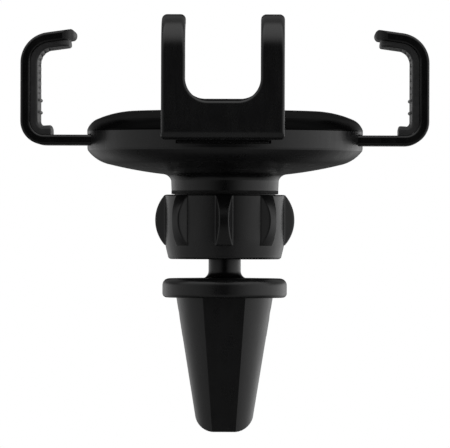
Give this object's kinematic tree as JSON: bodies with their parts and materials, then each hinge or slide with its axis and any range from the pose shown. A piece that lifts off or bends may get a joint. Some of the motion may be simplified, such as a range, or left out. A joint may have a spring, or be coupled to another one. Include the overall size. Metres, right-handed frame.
{
  "type": "gravity air vent phone mount",
  "caption": "Car phone mount: tapered vent clip, ball joint with ribbed lock nut, and a round disc whose foot and side arms close on the phone by its own weight.",
  "frame": {"origin": "centre of the underside of the clip's flange, where the vent's vane stops", "axes": "+Z from the clip to the face that the phone's back rests on, -Y towards the foot and the phone's lower end, +X to the right arm seen from the foot"},
  "size_m": [0.0776, 0.0633, 0.0787],
  "materials": {
    "body_plastic": "fine satin moulded ABS",
    "cover_plastic": "smooth satin moulded ABS",
    "arm_plastic": "satin moulded ABS with a polished rim",
    "grip_rubber": "soft matte silicone rubber",
    "inner_nylon": "natural nylon",
    "gear_acetal": "smooth white acetal",
    "steel": "plated steel"
  },
  "bodies": {
    "vent_clip": {"ball_stud": "body_plastic", "jaw_pin": "steel", "jaw_spring": "steel"},
    "front_jaw": {"clip_jaw_front": "body_plastic", "jaw_liner_front": "grip_rubber"},
    "rear_jaw": {"clip_jaw_rear": "body_plastic", "jaw_liner_rear": "grip_rubber"},
    "cup": {"ball_cup": "inner_nylon"},
    "collet": {"split_collet": "inner_nylon"},
    "housing": {"rear_housing": "body_plastic", "front_cover": "cover_plastic", "front_pad": "grip_rubber", "retainer_plate": "inner_nylon", "cover_screws": "steel", "pinion_axles": "steel", "return_spring": "steel"},
    "nut_ring": {"clamp_ring": "inner_nylon"},
    "nut": {"lock_nut": "body_plastic"},
    "foot_slider": {"foot": "arm_plastic", "foot_slide": "arm_plastic", "foot_pad": "grip_rubber"},
    "left_grip": {"left_arm": "arm_plastic", "left_arm_pad": "grip_rubber"},
    "right_grip": {"right_arm": "arm_plastic", "right_arm_pad": "grip_rubber"},
    "left_gear": {"left_pinion": "gear_acetal"},
    "right_gear": {"right_pinion": "gear_acetal"}
  },
  "joints": [
    {"name": "front_jaw_open", "type": "hinge", "parent": "vent_clip", "child": "front_jaw", "pos_m": [0, 0, -0.003], "axis": [-1, 0, 0], "range_deg": [0, 2.5], "stiffness_Nm_per_rad": 0.3, "springref_deg": -5.73, "deforming": ["jaw_spring"]},
    {"name": "rear_jaw_open", "type": "hinge", "parent": "vent_clip", "child": "rear_jaw", "pos_m": [0, 0, -0.003], "axis": [1, 0, 0], "range_deg": [0, 2.5], "stiffness_Nm_per_rad": 0.3, "springref_deg": -5.73, "deforming": ["jaw_spring"]},
    {"name": "ball_swivel", "type": "hinge", "parent": "vent_clip", "child": "cup", "pos_m": [0, 0, 0.0164], "axis": [0, 0, 1], "continuous": true},
    {"name": "ball_tilt", "type": "hinge", "parent": "cup", "child": "collet", "pos_m": [0, 0, 0.0164], "axis": [1, 0, 0], "range_deg": [-20, 20]},
    {"name": "ball_twist", "type": "hinge", "parent": "collet", "child": "housing", "pos_m": [0, 0, 0.0164], "axis": [0, 0, 1], "continuous": true},
    {"name": "nut_feed", "type": "slide", "parent": "housing", "child": "nut_ring", "axis": [0, 0, -1], "range_m": [0, 0.00052]},
    {"name": "nut_turn", "type": "hinge", "parent": "nut_ring", "child": "nut", "pos_m": [0, 0, 0.0164], "axis": [0, 0, -1], "range_deg": [0, 90]},
    {"name": "foot_travel", "type": "slide", "parent": "housing", "child": "foot_slider", "axis": [0, -1, 0], "range_m": [-0.007, 0.003], "deforming": ["return_spring"]},
    {"name": "left_arm_travel", "type": "slide", "parent": "housing", "child": "left_grip", "axis": [1, 0, 0], "range_m": [-0.0071, 0.0031]},
    {"name": "right_arm_travel", "type": "slide", "parent": "housing", "child": "right_grip", "axis": [-1, 0, 0], "range_m": [-0.0071, 0.0031]},
    {"name": "left_pinion_turn", "type": "hinge", "parent": "housing", "child": "left_gear", "pos_m": [-0.014, -0.002, 0.029], "axis": [0, 0, -1], "range_deg": [-75, 33]},
    {"name": "right_pinion_turn", "type": "hinge", "parent": "housing", "child": "right_gear", "pos_m": [0.014, -0.002, 0.029], "axis": [0, 0, 1], "range_deg": [-75, 33]}
  ],
  "couplings": [
    {"joint": "nut_feed", "follows": "nut_turn", "m_per_rad": 0.00031831},
    {"joint": "left_arm_travel", "follows": "foot_travel", "ratio": 1},
    {"joint": "right_arm_travel", "follows": "foot_travel", "ratio": 1},
    {"joint": "left_pinion_turn", "follows": "foot_travel", "rad_per_m": 185.19},
    {"joint": "right_pinion_turn", "follows": "foot_travel", "rad_per_m": 185.19}
  ]
}
